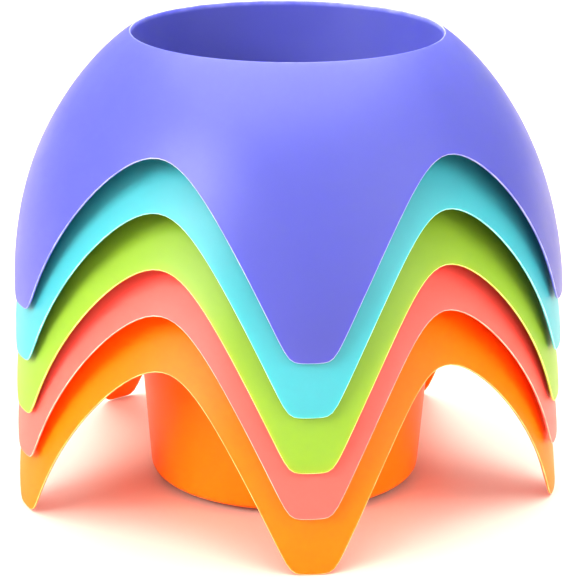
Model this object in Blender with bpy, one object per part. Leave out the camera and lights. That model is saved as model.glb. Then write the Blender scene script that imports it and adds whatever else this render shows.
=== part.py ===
"""A stack of five identical beach drink holders, one nested into the next.

Each holder is a single thin-walled plastic moulding: a tapered cup with a closed
floor, a rounded lip, and a domed skirt that falls from the lip and is scalloped
into five pointed legs. Metres, +Z up, the ground at z = 0, one leg of every
holder towards -Y.
"""

import math

import bmesh
import bpy

# ---- Driving constants (metres, degrees) -----------------------------------
LEGS = 5  # legs round the skirt
LEG_RADIUS = 0.0750  # axis to the outside of a leg tip
HEIGHT = 0.0676  # leg tips to the top of the lip
# How far each nested holder stands above the lowest one. Their walls taper so
# little that they wedge at slightly uneven steps.
RISES = (0.0, 0.0148, 0.02695, 0.0415, 0.0556)

CUP_RADIUS = 0.03645  # cup wall outside, carried down to z = 0
CUP_TAPER = 4.7  # half angle of the cup wall
CUP_WALL = 0.0007  # cup wall, measured level
CUP_LIFT = 0.0010  # underside of the cup above the leg tips
FLOOR = 0.0016  # thickness of the cup floor
FOOT_ROUND = 0.0030  # round between the cup wall and its underside
WELL_ROUND = 0.0022  # round between the inner wall and the floor

LIP_RADIUS = 0.0416  # axis to the crest of the lip
LIP_ROUND = 0.0004  # drop of the lip's inner round
SKIRT_WALL = 0.0012  # skirt thickness, square to its surface
EDGE_WALL = 0.0005  # the same at the scalloped lower edge
EDGE_BAND = 0.0030  # over which the skirt thins towards that edge, on its inside
CREVICE = 0.0019  # below the crest, where the skirt leaves the cup wall

# The skirt's outside is a cubic curve from the leg tip up to the crest of the
# lip. These are its two middle control points as (radius, height).
SHOULDER_LOW = (0.0717, 0.0473)
SHOULDER_HIGH = (0.0434, 0.0671)

# The skirt's lower edge, as a height over the angle from a leg's middle: level
# across the tip, a steep flank, then a round arch half way to the next leg.
ARCH = 0.0456  # height of the arch's top
TIP_HALF = 4.2  # degrees to where the flank would meet the ground
TIP_ROUND = 0.00177  # softness of the corner between tip and flank
FLANK_LEAN = 0.0473  # pulls the arch towards the leg
FLANK_BIAS = 3.98  # how much of that pull is low down

# Angles from a leg's middle to the next arch's middle that carry a section:
# closer together over the leg tip, where the edge turns fastest.
STEPS = (0.0, 2.6, 4.4, 6.6, 11.0, 17.0, 23.5, 30.0)
SKIRT_ROWS = 7  # bands from the lip to the lower edge
ROUND_ROWS = 2  # bands in each small round

COLOURS = (
    ("holder_orange", (0.95, 0.29, 0.03)),
    ("holder_pink", (0.95, 0.20, 0.19)),
    ("holder_green", (0.42, 0.62, 0.04)),
    ("holder_turquoise", (0.10, 0.68, 0.70)),
    ("holder_purple", (0.22, 0.22, 0.80)),
)


def clear_scene():
    for obj in list(bpy.data.objects):
        bpy.data.objects.remove(obj, do_unlink=True)


def cup_outside(z):
    """Radius of the cup's outer wall at a height."""
    return CUP_RADIUS + z * math.tan(math.radians(CUP_TAPER))


def skirt_point(t):
    """(radius, height) on the skirt's outside: t = 0 at the leg tip, 1 at the crest."""
    a, b, c, d = (1 - t) ** 3, 3 * (1 - t) ** 2 * t, 3 * (1 - t) * t * t, t**3
    ends = ((LEG_RADIUS, 0.0), SHOULDER_LOW, SHOULDER_HIGH, (LIP_RADIUS, HEIGHT))
    return tuple(
        a * ends[0][i] + b * ends[1][i] + c * ends[2][i] + d * ends[3][i] for i in (0, 1)
    )


def skirt_normal(t):
    """Unit vector square to the skirt's outside, pointing out of the plastic."""
    lo, hi = skirt_point(max(t - 1e-4, 0.0)), skirt_point(min(t + 1e-4, 1.0))
    dr, dz = hi[0] - lo[0], hi[1] - lo[1]
    size = math.hypot(dr, dz)
    return dz / size, -dr / size


def edge_height(angle):
    """Height of the skirt's lower edge at an angle in degrees from a leg's middle."""
    half = 180.0 / LEGS
    span = half - TIP_HALF
    x = (angle - TIP_HALF) / span
    slope = math.pi / 2 * (1 + FLANK_LEAN * (1 + FLANK_BIAS)) / span
    if x > 0:
        lean = x + FLANK_LEAN * x * (1 - x) * (1 + FLANK_BIAS * (1 - x))
        flank = ARCH * math.sin(math.pi / 2 * lean)
    else:
        flank = ARCH * slope * (angle - TIP_HALF)

    def soften(v):
        return TIP_ROUND * math.log1p(math.exp(v / TIP_ROUND))

    return soften(flank) - soften(-ARCH * slope * TIP_HALF)


def skirt_parameter(z):
    """The t at which the skirt's outside reaches a height."""
    lo, hi = 0.0, 1.0
    for _ in range(50):
        mid = (lo + hi) / 2
        if skirt_point(mid)[1] < z:
            lo = mid
        else:
            hi = mid
    return (lo + hi) / 2


def arc(cx, cz, radius, start, end, steps):
    """Points on an arc in the section plane, from start to end degrees."""
    return [
        (
            cx + radius * math.cos(math.radians(start + (end - start) * i / steps)),
            cz + radius * math.sin(math.radians(start + (end - start) * i / steps)),
        )
        for i in range(steps + 1)
    ]


def section(angle):
    """The closed outline of the plastic at one angle, from the cup floor over
    the lip, down the skirt, back up inside it and down the cup's outside."""
    lean = 90.0 - CUP_TAPER
    # Inside the cup: floor, round, wall, and the round over the lip.
    well = CUP_LIFT + FLOOR + WELL_ROUND
    wall = cup_outside(well) - CUP_WALL - WELL_ROUND
    points = arc(wall, well, WELL_ROUND, -90, -CUP_TAPER, ROUND_ROWS)
    top = HEIGHT - LIP_ROUND
    inner = cup_outside(top) - CUP_WALL
    reach = LIP_RADIUS - inner
    for i in range(ROUND_ROWS):
        turn = math.radians(90.0 * i / ROUND_ROWS)
        points.append(
            (LIP_RADIUS - reach * math.cos(turn), top + LIP_ROUND * math.sin(turn))
        )
    # The skirt's outside from the crest to the lower edge.
    end = skirt_parameter(edge_height(angle))
    rows = [1 - (1 - end) * i / SKIRT_ROWS for i in range(SKIRT_ROWS + 1)]
    points += [skirt_point(t) for t in rows]
    # The skirt's inside, thin at the edge, back up to where it leaves the cup wall.
    band = skirt_parameter(edge_height(angle) + EDGE_BAND)
    for t, wall in [(end, EDGE_WALL), (band, SKIRT_WALL)] + [
        (t, SKIRT_WALL) for t in rows[-2:1:-1]
    ]:
        r, z = skirt_point(t)
        nr, nz = skirt_normal(t)
        points.append((r - wall * nr, max(z - wall * nz, 0.0)))
    points.append((cup_outside(HEIGHT - CREVICE), HEIGHT - CREVICE))
    # The cup's outside, its lower round and the edge of its underside.
    foot = CUP_LIFT + FOOT_ROUND
    centre = cup_outside(foot) - FOOT_ROUND / math.sin(math.radians(lean))
    points += arc(centre, foot, FOOT_ROUND, -CUP_TAPER, -90, ROUND_ROWS)
    return points


def sections():
    """Every angle that carries a section, with its angle from the nearest leg."""
    pitch = 360.0 / LEGS
    for leg in range(LEGS):
        for step in STEPS:
            yield leg * pitch + step, step
        yield leg * pitch + pitch / 2, pitch / 2
        for step in reversed(STEPS[1:]):
            yield (leg + 1) * pitch - step, step


def holder_mesh():
    """One holder with its leg tips at z = 0, as a closed mesh facing out."""
    bm = bmesh.new()
    rings = []
    for turn, from_leg in sections():
        a = math.radians(turn)
        rings.append(
            [
                bm.verts.new((r * math.sin(a), -r * math.cos(a), z))
                for r, z in section(from_leg)
            ]
        )
    floor = bm.verts.new((0, 0, CUP_LIFT + FLOOR))
    under = bm.verts.new((0, 0, CUP_LIFT))
    for i, ring in enumerate(rings):
        after = rings[(i + 1) % len(rings)]
        for j in range(len(ring) - 1):
            bm.faces.new((ring[j], after[j], after[j + 1], ring[j + 1]))
        bm.faces.new((floor, after[0], ring[0]))
        bm.faces.new((under, ring[-1], after[-1]))
    bmesh.ops.recalc_face_normals(bm, faces=bm.faces)
    mesh = bpy.data.meshes.new("holder")
    bm.to_mesh(mesh)
    bm.free()
    mesh.shade_smooth()
    mesh.set_sharp_from_angle(angle=math.radians(40))
    return mesh


def plastic(name, colour):
    material = bpy.data.materials.new(name)
    material.use_nodes = True
    shader = material.node_tree.nodes["Principled BSDF"]
    shader.inputs["Base Color"].default_value = (*colour, 1.0)
    shader.inputs["Roughness"].default_value = 0.35
    shader.inputs["Metallic"].default_value = 0.0
    return material


clear_scene()
moulding = holder_mesh()
for place, (title, tint) in enumerate(COLOURS):
    # Same moulding in another colour, standing on the one below.
    mesh = moulding.copy()
    mesh.name = title
    mesh.materials.append(plastic(title.replace("holder", "plastic"), tint))
    holder = bpy.data.objects.new(title, mesh)
    holder.location = (0.0, 0.0, RISES[place])
    bpy.context.scene.collection.objects.link(holder)
bpy.data.meshes.remove(moulding)
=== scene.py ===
import math

import bpy
import numpy as np
from mathutils import Matrix, Vector


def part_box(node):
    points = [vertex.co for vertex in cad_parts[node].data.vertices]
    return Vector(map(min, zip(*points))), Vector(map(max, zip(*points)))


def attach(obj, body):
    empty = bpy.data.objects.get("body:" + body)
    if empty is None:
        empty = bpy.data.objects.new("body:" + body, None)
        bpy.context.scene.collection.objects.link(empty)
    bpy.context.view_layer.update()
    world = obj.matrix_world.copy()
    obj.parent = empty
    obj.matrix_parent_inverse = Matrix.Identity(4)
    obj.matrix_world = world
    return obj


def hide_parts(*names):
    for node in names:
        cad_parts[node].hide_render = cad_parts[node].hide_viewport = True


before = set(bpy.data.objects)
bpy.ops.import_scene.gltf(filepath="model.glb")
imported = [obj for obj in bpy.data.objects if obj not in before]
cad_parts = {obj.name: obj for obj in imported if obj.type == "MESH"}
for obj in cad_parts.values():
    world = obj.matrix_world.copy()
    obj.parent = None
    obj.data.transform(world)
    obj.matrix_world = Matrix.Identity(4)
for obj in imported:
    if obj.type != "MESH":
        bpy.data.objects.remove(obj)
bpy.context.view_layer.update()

# ---- The moulding, as in the CAD source (metres, degrees) -------------------
LEGS = 5
LEG_RADIUS = 0.0750
HEIGHT = 0.0676
RISES = (0.0, 0.0148, 0.02695, 0.0415, 0.0556)
CUP_RADIUS = 0.03645
CUP_TAPER = 4.7
CUP_WALL = 0.0007
CUP_LIFT = 0.0010
FLOOR = 0.0016
FOOT_ROUND = 0.0030
WELL_ROUND = 0.0022
LIP_RADIUS = 0.0416
SKIRT_WALL = 0.0012
EDGE_WALL = 0.0005
EDGE_BAND = 0.0030
CREVICE = 0.0019
SHOULDER_LOW = (0.0717, 0.0473)
SHOULDER_HIGH = (0.0434, 0.0671)
ARCH = 0.0456
TIP_HALF = 4.2
TIP_ROUND = 0.00177
FLANK_LEAN = 0.0473
FLANK_BIAS = 3.98
# Each holder sits turned a fraction of a degree in the stack.
TWIST = (0.44, 0.08, -0.04, -0.29, -0.17)
LIP_FACE = 0.0008  # drop of the lip's inner round, softer than the CAD's
EDGE_ROUND = 0.00012  # round on both corners of the skirt's cut edge
HALF_STEPS = 26  # columns from a leg's middle to the next arch's middle
OUT_ROWS, IN_ROWS = 30, 20


def cup_outside(z):
    return CUP_RADIUS + z * math.tan(math.radians(CUP_TAPER))


def skirt_point(t):
    t = np.asarray(t, float)[..., None]
    p = [(LEG_RADIUS, 0.0), SHOULDER_LOW, SHOULDER_HIGH, (LIP_RADIUS, HEIGHT)]
    a, b, c, d = (np.array(q) for q in p)
    return (1 - t) ** 3 * a + 3 * (1 - t) ** 2 * t * b + 3 * (1 - t) * t * t * c + t**3 * d


def skirt_frame(t):
    """Unit tangent (up the skirt) and outward normal in the section plane."""
    step = skirt_point(np.minimum(np.asarray(t) + 1e-4, 1)) - skirt_point(
        np.maximum(np.asarray(t) - 1e-4, 0)
    )
    tangent = step / np.linalg.norm(step, axis=-1, keepdims=True)
    return tangent, np.stack([tangent[..., 1], -tangent[..., 0]], axis=-1)


def edge_height(angle):
    angle = np.asarray(angle, float)
    span = 180.0 / LEGS - TIP_HALF
    x = (angle - TIP_HALF) / span
    slope = math.pi / 2 * (1 + FLANK_LEAN * (1 + FLANK_BIAS)) / span
    lean = x + FLANK_LEAN * x * (1 - x) * (1 + FLANK_BIAS * (1 - x))
    flank = np.where(x > 0, ARCH * np.sin(math.pi / 2 * lean), ARCH * slope * (angle - TIP_HALF))

    def soften(v):
        return TIP_ROUND * np.log1p(np.exp(v / TIP_ROUND))

    return soften(flank) - soften(-ARCH * slope * TIP_HALF)


TABLE_T = np.linspace(0, 1, 4001)
TABLE_Z = skirt_point(TABLE_T)[:, 1]


def skirt_parameter(z):
    return np.interp(z, TABLE_Z, TABLE_T)


def arc(cx, cz, radius, start, end, steps):
    a = np.radians(np.linspace(start, end, steps + 1))
    return [(cx + radius * math.cos(v), cz + radius * math.sin(v)) for v in a]


def section(angle):
    """The outline of the plastic at one angle from a leg's middle, with a number from 0 to 1 beside each
    point: the strength of the painted highlight there, highest on the cut edge's outer corner and the
    lip's crest."""
    out = []

    def add(points, edge=0.0):
        out.extend((r, z, edge) for r, z in points)

    well = CUP_LIFT + FLOOR + WELL_ROUND
    wall = cup_outside(well) - CUP_WALL - WELL_ROUND
    for r in (0.004, 0.010, 0.017, 0.024, 0.030):
        add([(r, CUP_LIFT + FLOOR)])
    add(arc(wall, well, WELL_ROUND, -90, -CUP_TAPER, 6))
    top = HEIGHT - LIP_FACE
    low = well
    for f in (0.05, 0.15, 0.3, 0.45, 0.6, 0.75, 0.88, 0.96, 0.99):
        z = low + (top - low) * f
        add([(cup_outside(z) - CUP_WALL, z)])
    inner = cup_outside(top) - CUP_WALL
    reach = LIP_RADIUS - inner
    # The lip's round carries a painted highlight, strongest on its crest.
    for i in range(9):
        turn = math.radians(90.0 * i / 9)
        add(
            [(LIP_RADIUS - reach * math.cos(turn), top + LIP_FACE * math.sin(turn))],
            0.9 if i >= 6 else 0.4,
        )
    # Outside of the skirt, denser near the lip and near the cut edge.
    z_end = float(edge_height(angle))
    t_end = float(skirt_parameter(z_end))
    d = 0.25
    lift = float(edge_height(abs(angle + d)) - edge_height(abs(angle - d)))
    slope = lift / (math.radians(2 * d) * float(skirt_point(t_end)[0]))
    stretch = min(math.hypot(1.0, slope), 2.6)
    back = EDGE_ROUND * stretch
    t_back = float(skirt_parameter(z_end + back * skirt_frame(t_end)[0][1]))
    s = np.linspace(0, 1, OUT_ROWS + 1)
    s = 0.5 * s + 0.5 * (1 - np.cos(math.pi * s)) / 2
    ts = 1 - (1 - t_back) * s
    t_near = float(skirt_parameter(z_end + (back + 0.00006 * stretch) * skirt_frame(t_end)[0][1]))
    ts[-2] = t_near
    # The first row at the lip and the last row before the cut edge carry a painted highlight.
    for i, p in enumerate(skirt_point(ts)):
        add([tuple(p)], 0.8 if i == 0 else 0.8 if i == OUT_ROWS else 0.0)
    # The cut edge: two rounded corners and the flat between them.
    origin = skirt_point(t_end)
    tangent, normal = skirt_frame(t_end)

    def edge_point(along, inward):
        p = origin + tangent * along * stretch - normal * inward
        return (float(p[0]), max(float(p[1]), 0.0))

    # The outer corner carries the full painted highlight, the inner corner a weaker one.
    for a in np.radians((22.5, 45, 67.5, 90)):
        add([edge_point(EDGE_ROUND * (1 - math.sin(a)), EDGE_ROUND * (1 - math.cos(a)))], 1.0)
    for a in np.radians((0, 22.5, 45, 67.5)):
        add(
            [
                edge_point(
                    EDGE_ROUND * (1 - math.cos(a)),
                    EDGE_WALL - EDGE_ROUND * (1 - math.sin(a)),
                )
            ],
            0.3,
        )
    # Inside of the skirt, thin at the edge, up to the fillet at the cup wall.
    t_band = float(skirt_parameter(z_end + EDGE_BAND))
    ts = np.concatenate(
        [[t_back, t_near], t_band + (T_CREVICE - t_band) * np.linspace(0, 1, IN_ROWS - 1)]
    )
    drop = (skirt_point(t_band) - skirt_point(t_end))[1]
    share = np.clip((skirt_point(ts)[:, 1] - z_end) / drop, 0, 1)[:, None]
    pts = skirt_point(ts) - skirt_frame(ts)[1] * (EDGE_WALL + (SKIRT_WALL - EDGE_WALL) * share)
    for p in pts:
        add([(float(p[0]), max(float(p[1]), 0.0))])
    start = np.array(pts[-1])
    z_wall = start[1] - 0.0012
    corner = np.array([cup_outside(start[1] + 0.0001), start[1] + 0.0001])
    end = np.array([cup_outside(z_wall), z_wall])
    for u in (0.25, 0.5, 0.75, 1.0):
        p = (1 - u) ** 2 * start + 2 * (1 - u) * u * corner + u * u * end
        add([tuple(p)])
    foot = CUP_LIFT + FOOT_ROUND
    for f in (0.1, 0.25, 0.4, 0.55, 0.7, 0.85, 0.96):
        z = z_wall + (foot - z_wall) * f
        add([(cup_outside(z), z)])
    centre = cup_outside(foot) - FOOT_ROUND / math.cos(math.radians(CUP_TAPER))
    add(arc(centre, foot, FOOT_ROUND, -CUP_TAPER, -90, 8))
    for r in (0.030, 0.024, 0.017, 0.010, 0.004):
        add([(r, CUP_LIFT)])
    return out


def crevice_parameter():
    for t in np.linspace(0.8, 1, 2001):
        p = skirt_point(t) - skirt_frame(t)[1] * SKIRT_WALL
        if p[0] - cup_outside(p[1]) < 0.0009:
            return float(t)
    return 1.0


T_CREVICE = crevice_parameter()


def holder_mesh(name, base, twist):
    u = np.linspace(0, 1, HALF_STEPS + 1)
    steps = 36.0 * (0.5 * u + 0.5 * u * u)
    cut = [section(float(a)) for a in steps]
    order = []
    for leg in range(LEGS):
        order += [(72.0 * leg + steps[i], i) for i in range(HALF_STEPS + 1)]
        order += [(72.0 * (leg + 1) - steps[i], i) for i in range(HALF_STEPS - 1, 0, -1)]
    rows = len(cut[0])
    verts, edge = [], []
    for turn, i in order:
        a = math.radians(turn + twist)
        for r, z, e in cut[i]:
            verts.append((r * math.sin(a), -r * math.cos(a), z + base))
            edge.append(e)
    floor = len(verts)
    verts += [(0, 0, base + CUP_LIFT + FLOOR), (0, 0, base + CUP_LIFT)]
    edge += [0.0, 0.0]
    faces = []
    n = len(order)
    for c in range(n):
        p, q = c * rows, ((c + 1) % n) * rows
        for j in range(rows - 1):
            faces.append((p + j, p + j + 1, q + j + 1, q + j))
        faces.append((floor, p, q))
        faces.append((floor + 1, q + rows - 1, p + rows - 1))
    lo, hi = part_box(name)
    points = np.clip(np.array(verts), np.array(lo), np.array(hi))
    mesh = bpy.data.meshes.new(name + "_fine")
    mesh.from_pydata(points.tolist(), [], faces)
    mesh.update()
    # The "edge" attribute holds the strength of the painted highlight at each vertex.
    mark = mesh.attributes.new("edge", "FLOAT", "POINT")
    mark.data.foreach_set("value", edge)
    mesh.shade_smooth()
    mesh.validate()
    return mesh


# ---- Materials ------------------------------------------------------------
def plastic(name, colour, deep, highlight_tint, radius, gloss, seed):
    """Smooth moulded plastic: clouded colour, fine grain, flow lines that run down from the lip, and a
    pale painted highlight along the cut edges and the lip."""
    m = bpy.data.materials.new(name)
    m.use_nodes = True
    nt = m.node_tree
    nodes, links = nt.nodes, nt.links
    shader = nodes["Principled BSDF"]

    def node(kind, **values):
        n = nodes.new(kind)
        for key, value in values.items():
            setattr(n, key, value)
        return n

    coords = node("ShaderNodeTexCoord")
    shift = node("ShaderNodeMapping")
    shift.inputs["Location"].default_value = (seed * 0.37, seed * 0.21, seed * 0.11)
    links.new(coords.outputs["Object"], shift.inputs["Vector"])

    cloud = node("ShaderNodeTexNoise")
    cloud.inputs["Scale"].default_value = 28.0
    cloud.inputs["Detail"].default_value = 3.0
    links.new(shift.outputs["Vector"], cloud.inputs["Vector"])
    ramp = node("ShaderNodeValToRGB")
    ramp.color_ramp.elements[0].position = 0.32
    ramp.color_ramp.elements[0].color = (*deep, 1)
    ramp.color_ramp.elements[1].position = 0.62
    ramp.color_ramp.elements[1].color = (*colour, 1)
    links.new(cloud.outputs["Fac"], ramp.inputs["Fac"])

    # Painted highlight along the cut edges and the lip: the "edge" attribute mixes in a pale tint, broken
    # up by fine noise.
    edge = node("ShaderNodeAttribute", attribute_name="edge")
    highlight_mottle = node("ShaderNodeTexNoise")
    highlight_mottle.inputs["Scale"].default_value = 240.0
    highlight_mottle.inputs["Detail"].default_value = 2.0
    links.new(shift.outputs["Vector"], highlight_mottle.inputs["Vector"])
    edge_highlight = node("ShaderNodeMath", operation="MULTIPLY")
    links.new(edge.outputs["Fac"], edge_highlight.inputs[0])
    range_ = node("ShaderNodeMapRange")
    range_.inputs["From Min"].default_value = 0.3
    range_.inputs["From Max"].default_value = 0.7
    range_.inputs["To Min"].default_value = 0.28
    range_.inputs["To Max"].default_value = 0.66
    links.new(highlight_mottle.outputs["Fac"], range_.inputs["Value"])
    links.new(range_.outputs["Result"], edge_highlight.inputs[1])
    mix = node("ShaderNodeMix", data_type="RGBA")
    mix.inputs["B"].default_value = (*highlight_tint, 1)
    for socket in mix.inputs:
        if socket.name == "Factor" and socket.type == "VALUE":
            links.new(edge_highlight.outputs["Value"], socket)
            break
    a = [s for s in mix.inputs if s.name == "A" and s.type == "RGBA"][0]
    b = [s for s in mix.inputs if s.name == "B" and s.type == "RGBA"][0]
    b.default_value = (*highlight_tint, 1)
    links.new(ramp.outputs["Color"], a)
    out = [s for s in mix.outputs if s.type == "RGBA"][0]
    links.new(out, shader.inputs["Base Color"])

    # Roughness: a broad smear.
    smear = node("ShaderNodeTexNoise")
    smear.inputs["Scale"].default_value = 60.0
    smear.inputs["Detail"].default_value = 5.0
    smear.inputs["Roughness"].default_value = 0.62
    links.new(shift.outputs["Vector"], smear.inputs["Vector"])
    rough = node("ShaderNodeMapRange")
    rough.inputs["From Min"].default_value = 0.25
    rough.inputs["From Max"].default_value = 0.75
    rough.inputs["To Min"].default_value = 0.34
    rough.inputs["To Max"].default_value = 0.44
    links.new(smear.outputs["Fac"], rough.inputs["Value"])
    links.new(rough.outputs["Result"], shader.inputs["Roughness"])

    # Bump: moulded grain and very shallow flow lines.
    grain = node("ShaderNodeTexNoise")
    grain.inputs["Scale"].default_value = 1700.0
    grain.inputs["Detail"].default_value = 2.0
    links.new(shift.outputs["Vector"], grain.inputs["Vector"])
    bump = node("ShaderNodeBump")
    bump.inputs["Strength"].default_value = 0.10
    bump.inputs["Distance"].default_value = 0.00006
    links.new(grain.outputs["Fac"], bump.inputs["Height"])
    flow = node("ShaderNodeTexNoise")
    flow.inputs["Scale"].default_value = 45.0
    flow.inputs["Detail"].default_value = 1.0
    links.new(shift.outputs["Vector"], flow.inputs["Vector"])
    waves = node("ShaderNodeBump")
    waves.inputs["Strength"].default_value = 0.12
    waves.inputs["Distance"].default_value = 0.0006
    links.new(flow.outputs["Fac"], waves.inputs["Height"])
    links.new(bump.outputs["Normal"], waves.inputs["Normal"])
    links.new(waves.outputs["Normal"], shader.inputs["Normal"])

    shader.inputs["Metallic"].default_value = 0.0
    shader.inputs["IOR"].default_value = 1.49
    shader.inputs["Specular IOR Level"].default_value = gloss
    shader.inputs["Subsurface Weight"].default_value = 1.0
    shader.inputs["Subsurface Scale"].default_value = 0.0009
    shader.inputs["Subsurface Radius"].default_value = radius
    return m


# body: colour, deeper colour, painted highlight colour for the edges and lip, scattering radius, gloss
LOOKS = {
    "orange": ((0.98, 0.121, 0.002), (0.96, 0.113, 0.001), (1.0, 0.62, 0.30), (1.0, 1.0, 0.5), 0.08),
    "pink": ((0.98, 0.086, 0.068), (0.96, 0.078, 0.061), (1.0, 0.62, 0.48), (1.0, 0.7, 0.6), 0.12),
    "green": ((0.167, 0.281, 0.018), (0.158, 0.267, 0.016), (0.80, 0.84, 0.34), (3.0, 3.0, 0.5), 0.16),
    "turquoise": ((0.036, 0.266, 0.300), (0.032, 0.249, 0.283), (0.58, 0.86, 0.88), (0.6, 3.0, 3.6), 0.20),
    "purple": ((0.066, 0.071, 0.345), (0.061, 0.066, 0.326), (0.66, 0.68, 0.95), (0.6, 0.6, 4.0), 0.28),
}

holders = bpy.data.collections.new("holders")
recessed = bpy.data.collections.new("recessed")  # those that sit under another skirt
outside = bpy.data.collections.new("outside")  # the top holder and the floor
for place, (body, look) in enumerate(LOOKS.items()):
    node = "holder_" + body
    mesh = holder_mesh(node, RISES[place], TWIST[place])
    piece = bpy.data.objects.new("fine_" + node, mesh)
    bpy.context.scene.collection.objects.link(piece)
    mesh.materials.append(plastic(body + "_moulded_plastic", *look, seed=place + 1))
    holders.objects.link(piece)
    (outside if body == "purple" else recessed).objects.link(piece)
    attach(piece, body)
    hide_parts(node)

# ---- Floor ---------------------------------------------------------------
floor_mesh = bpy.data.meshes.new("floor")
size = 6.0
floor_mesh.from_pydata(
    [(-size, -size, 0), (size, -size, 0), (size, size, 0), (-size, size, 0)], [], [(0, 1, 2, 3)]
)
floor = bpy.data.objects.new("floor", floor_mesh)
floor.location = (0, 0, -0.0002)
bpy.context.scene.collection.objects.link(floor)
white = bpy.data.materials.new("floor_white")
white.use_nodes = True
white.node_tree.nodes["Principled BSDF"].inputs["Base Color"].default_value = (0.76, 0.65, 0.54, 1)
white.node_tree.nodes["Principled BSDF"].inputs["Roughness"].default_value = 0.4
floor_mesh.materials.append(white)
outside.objects.link(floor)

# ---- Light ---------------------------------------------------------------
world = bpy.data.worlds.new("world")
bpy.context.scene.world = world
world.use_nodes = True
world.node_tree.nodes["Background"].inputs["Color"].default_value = (1, 1, 1, 1)
world.node_tree.nodes["Background"].inputs["Strength"].default_value = 0.60


def sun(name, direction, strength, angle, only=None):
    """A broad distant light. `only` names the collection it is flagged onto."""
    light = bpy.data.lights.new(name, "SUN")
    light.energy = strength
    light.angle = math.radians(angle)
    obj = bpy.data.objects.new(name, light)
    obj.rotation_euler = Vector(direction).to_track_quat("Z", "Y").to_euler()
    if only:
        obj.light_linking.receiver_collection = only
    bpy.context.scene.collection.objects.link(obj)


sun("top", (0.0, 0.15, 0.99), 4.4, 75)
sun("top_spill", (0.0, 0.15, 0.99), 2.2, 75, only=outside)
sun("key", (-0.76, -0.49, 0.54), 2.4, 36)
sun("key_spill", (-0.76, -0.49, 0.54), 3.0, 36, only=holders)
sun("right", (0.70, -0.55, 0.42), 1.6, 50)
sun("left", (-0.88, -0.38, 0.16), 2.0, 50, only=recessed)
sun("front", (0.0, -0.95, 0.28), 1.9, 40, only=recessed)
sun("fill", (0.85, -0.45, 0.12), 2.6, 50, only=recessed)
sun("back", (0.30, 0.85, 0.35), 2.0, 50, only=recessed)


# ---- Camera --------------------------------------------------------------
DISTANCE, RISE = 0.653555, 0.253227  # from the axis, above the floor
PITCH_DOWN, ROLL, YAW, TURN = 17.1572, 0.4327, 0.0935, 5.14
FOCAL_PX, FRAME_PX = 2514.05, 579.0
al, ro, ps = (math.radians(v) for v in (PITCH_DOWN, ROLL, YAW))
forward = Vector((math.sin(ps) * math.cos(al), math.cos(ps) * math.cos(al), -math.sin(al)))
right = Vector((math.cos(ps), -math.sin(ps), 0))
up = right.cross(forward)
right, up = right * math.cos(ro) + up * math.sin(ro), up * math.cos(ro) - right * math.sin(ro)
turn = Matrix.Rotation(math.radians(-TURN), 4, "Z")
place = Matrix.Identity(4)
for i in range(3):
    place[i][0], place[i][1], place[i][2] = right[i], up[i], -forward[i]
place.translation = Vector((0, -DISTANCE, RISE))
camera_data = bpy.data.cameras.new("camera")
camera_data.sensor_fit = "HORIZONTAL"
camera_data.sensor_width = 36.0
camera_data.lens = 36.0 * FOCAL_PX / FRAME_PX
camera = bpy.data.objects.new("camera", camera_data)
camera.matrix_world = turn @ place
bpy.context.scene.collection.objects.link(camera)
bpy.context.scene.camera = camera
bpy.context.scene.view_settings.view_transform = "Standard"
